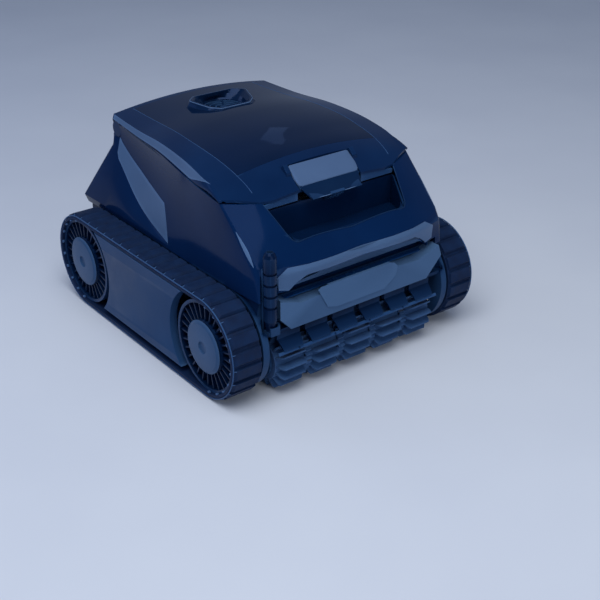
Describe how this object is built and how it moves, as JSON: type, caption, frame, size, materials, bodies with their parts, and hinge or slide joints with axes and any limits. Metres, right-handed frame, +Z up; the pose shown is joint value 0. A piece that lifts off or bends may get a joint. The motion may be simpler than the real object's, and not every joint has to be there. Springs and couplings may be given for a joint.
{
  "type": "robotic pool cleaner",
  "caption": "Tracked robotic pool floor cleaner with a glossy faceted body, hinged windowed lid, top water outlet and a paddle brush across its front.",
  "frame": {"origin": "on the pool floor under the middle of the machine, at the bottom centre of its bounding box", "axes": "+X to the right across the tracks, +Y to the rear along the tracks, +Z up; the brush is at the front, towards -Y"},
  "size_m": [0.43, 0.4798, 0.313],
  "materials": {
    "shell": "deep glossy charcoal with a navy cast",
    "lid_gloss": "piano-gloss frame",
    "window": "smoked transparent",
    "tray_black": "near black",
    "chassis": "dark satin moulding",
    "side_plate": "satin grey",
    "bumper": "satin blue-grey",
    "hatch": "satin slate",
    "guard": "satin blue-grey",
    "track_rubber": "matt moulded rubber",
    "wheel": "satin dark slate",
    "hub_cap": "light blue-grey",
    "bush": "self-lubricating acetal",
    "steel": "stainless steel",
    "motor": "grey motor can",
    "housing": "sealed block",
    "seal": "soft rubber",
    "board": "green circuit board",
    "mesh": "fine woven filter cloth",
    "brush_rubber": "mauve-grey soft PVC",
    "brush_core": "dark core",
    "gland": "dark semi-gloss rubber",
    "bezel": "glossy slate",
    "latch_cap": "light blue-grey",
    "latch_body": "dark lever"
  },
  "bodies": {
    "root": {"chassis": "chassis", "shell_front": "shell", "shell_left": "shell", "shell_right": "shell", "side_frame_left": "side_plate", "side_frame_right": "side_plate", "front_bumper": "bumper", "bumper_hatch": "hatch", "grip_tray": "tray_black", "latch_tray": "tray_black", "track_left": "track_rubber", "track_right": "track_rubber", "track_guard_left": "guard", "track_guard_right": "guard", "wheel_axles": "steel", "frame_screws": "steel", "brush_bearings": "bush", "motor_housing": "housing", "motor_cover": "housing", "motor_seal": "seal", "pump_motor": "motor", "control_board": "board", "traction_motor_left": "motor", "traction_motor_right": "motor", "outlet_duct": "chassis", "filter_frame": "chassis", "filter_mesh": "mesh", "inlet_throat": "chassis", "cable_socket": "gland", "cable_relief": "gland", "hinge_brackets": "chassis"},
    "wheel_front_left_body": {"wheel_front_left": "wheel", "hub_cap_front_left": "hub_cap", "wheel_bush_front_left": "bush"},
    "wheel_rear_left_body": {"wheel_rear_left": "wheel", "hub_cap_rear_left": "hub_cap", "wheel_bush_rear_left": "bush"},
    "wheel_front_right_body": {"wheel_front_right": "wheel", "hub_cap_front_right": "hub_cap", "wheel_bush_front_right": "bush"},
    "wheel_rear_right_body": {"wheel_rear_right": "wheel", "hub_cap_rear_right": "hub_cap", "wheel_bush_rear_right": "bush"},
    "pinion_left_body": {"drive_pinion_left": "steel"},
    "pinion_right_body": {"drive_pinion_right": "steel"},
    "brush_body": {"brush_core": "brush_core", "brush_sleeves": "brush_rubber", "brush_gear": "bush"},
    "impeller_body": {"impeller": "bezel", "impeller_shaft": "steel"},
    "lid_body": {"lid_frame": "lid_gloss", "lid_window": "window", "lid_seal": "seal", "outlet_bezel": "bezel", "outlet_grille": "bezel", "lid_pins": "steel"},
    "latch_body": {"latch_lever": "latch_body", "latch_pad": "latch_cap"},
    "flap_body": {"inlet_flap": "seal"},
    "handle_body": {"filter_handle": "hub_cap"}
  },
  "joints": [
    {"name": "wheel_front_left_spin", "type": "hinge", "parent": "root", "child": "wheel_front_left_body", "pos_m": [-0.19, -0.165, 0.075], "axis": [1, 0, 0], "continuous": true},
    {"name": "wheel_rear_left_spin", "type": "hinge", "parent": "root", "child": "wheel_rear_left_body", "pos_m": [-0.19, 0.165, 0.075], "axis": [1, 0, 0], "continuous": true},
    {"name": "wheel_front_right_spin", "type": "hinge", "parent": "root", "child": "wheel_front_right_body", "pos_m": [0.19, -0.165, 0.075], "axis": [1, 0, 0], "continuous": true},
    {"name": "wheel_rear_right_spin", "type": "hinge", "parent": "root", "child": "wheel_rear_right_body", "pos_m": [0.19, 0.165, 0.075], "axis": [1, 0, 0], "continuous": true},
    {"name": "drive_pinion_left_spin", "type": "hinge", "parent": "root", "child": "pinion_left_body", "pos_m": [-0.165, 0.14009, 0.10468], "axis": [1, 0, 0], "continuous": true},
    {"name": "drive_pinion_right_spin", "type": "hinge", "parent": "root", "child": "pinion_right_body", "pos_m": [0.165, 0.14009, 0.10468], "axis": [1, 0, 0], "continuous": true},
    {"name": "brush_spin", "type": "hinge", "parent": "root", "child": "brush_body", "pos_m": [0, -0.19602, 0.04504], "axis": [1, 0, 0], "continuous": true},
    {"name": "impeller_spin", "type": "hinge", "parent": "root", "child": "impeller_body", "pos_m": [0, 0.086, 0.26], "axis": [0, 0, 1], "continuous": true},
    {"name": "lid_hinge", "type": "hinge", "parent": "root", "child": "lid_body", "pos_m": [0, 0.162, 0.272], "axis": [-1, 0, 0], "range_deg": [0, 95]},
    {"name": "latch_pull", "type": "hinge", "parent": "lid_body", "child": "latch_body", "pos_m": [0, -0.143, 0.276], "axis": [-1, 0, 0], "range_deg": [0, 24], "stiffness_Nm_per_rad": 0.12, "springref_deg": -20.05},
    {"name": "inlet_flap_hinge", "type": "hinge", "parent": "root", "child": "flap_body", "pos_m": [0, -0.039, 0.067], "axis": [-1, 0, 0], "range_deg": [0, 70]},
    {"name": "filter_handle_hinge", "type": "hinge", "parent": "root", "child": "handle_body", "pos_m": [0, -0.045, 0.23], "axis": [1, 0, 0], "range_deg": [0, 90]}
  ],
  "couplings": [
    {"joint": "wheel_rear_left_spin", "follows": "wheel_front_left_spin", "ratio": 1},
    {"joint": "brush_spin", "follows": "wheel_front_left_spin", "ratio": -2.2857},
    {"joint": "drive_pinion_left_spin", "follows": "wheel_front_left_spin", "ratio": -3.4286},
    {"joint": "wheel_rear_right_spin", "follows": "wheel_front_right_spin", "ratio": 1},
    {"joint": "drive_pinion_right_spin", "follows": "wheel_front_right_spin", "ratio": -3.4286}
  ]
}
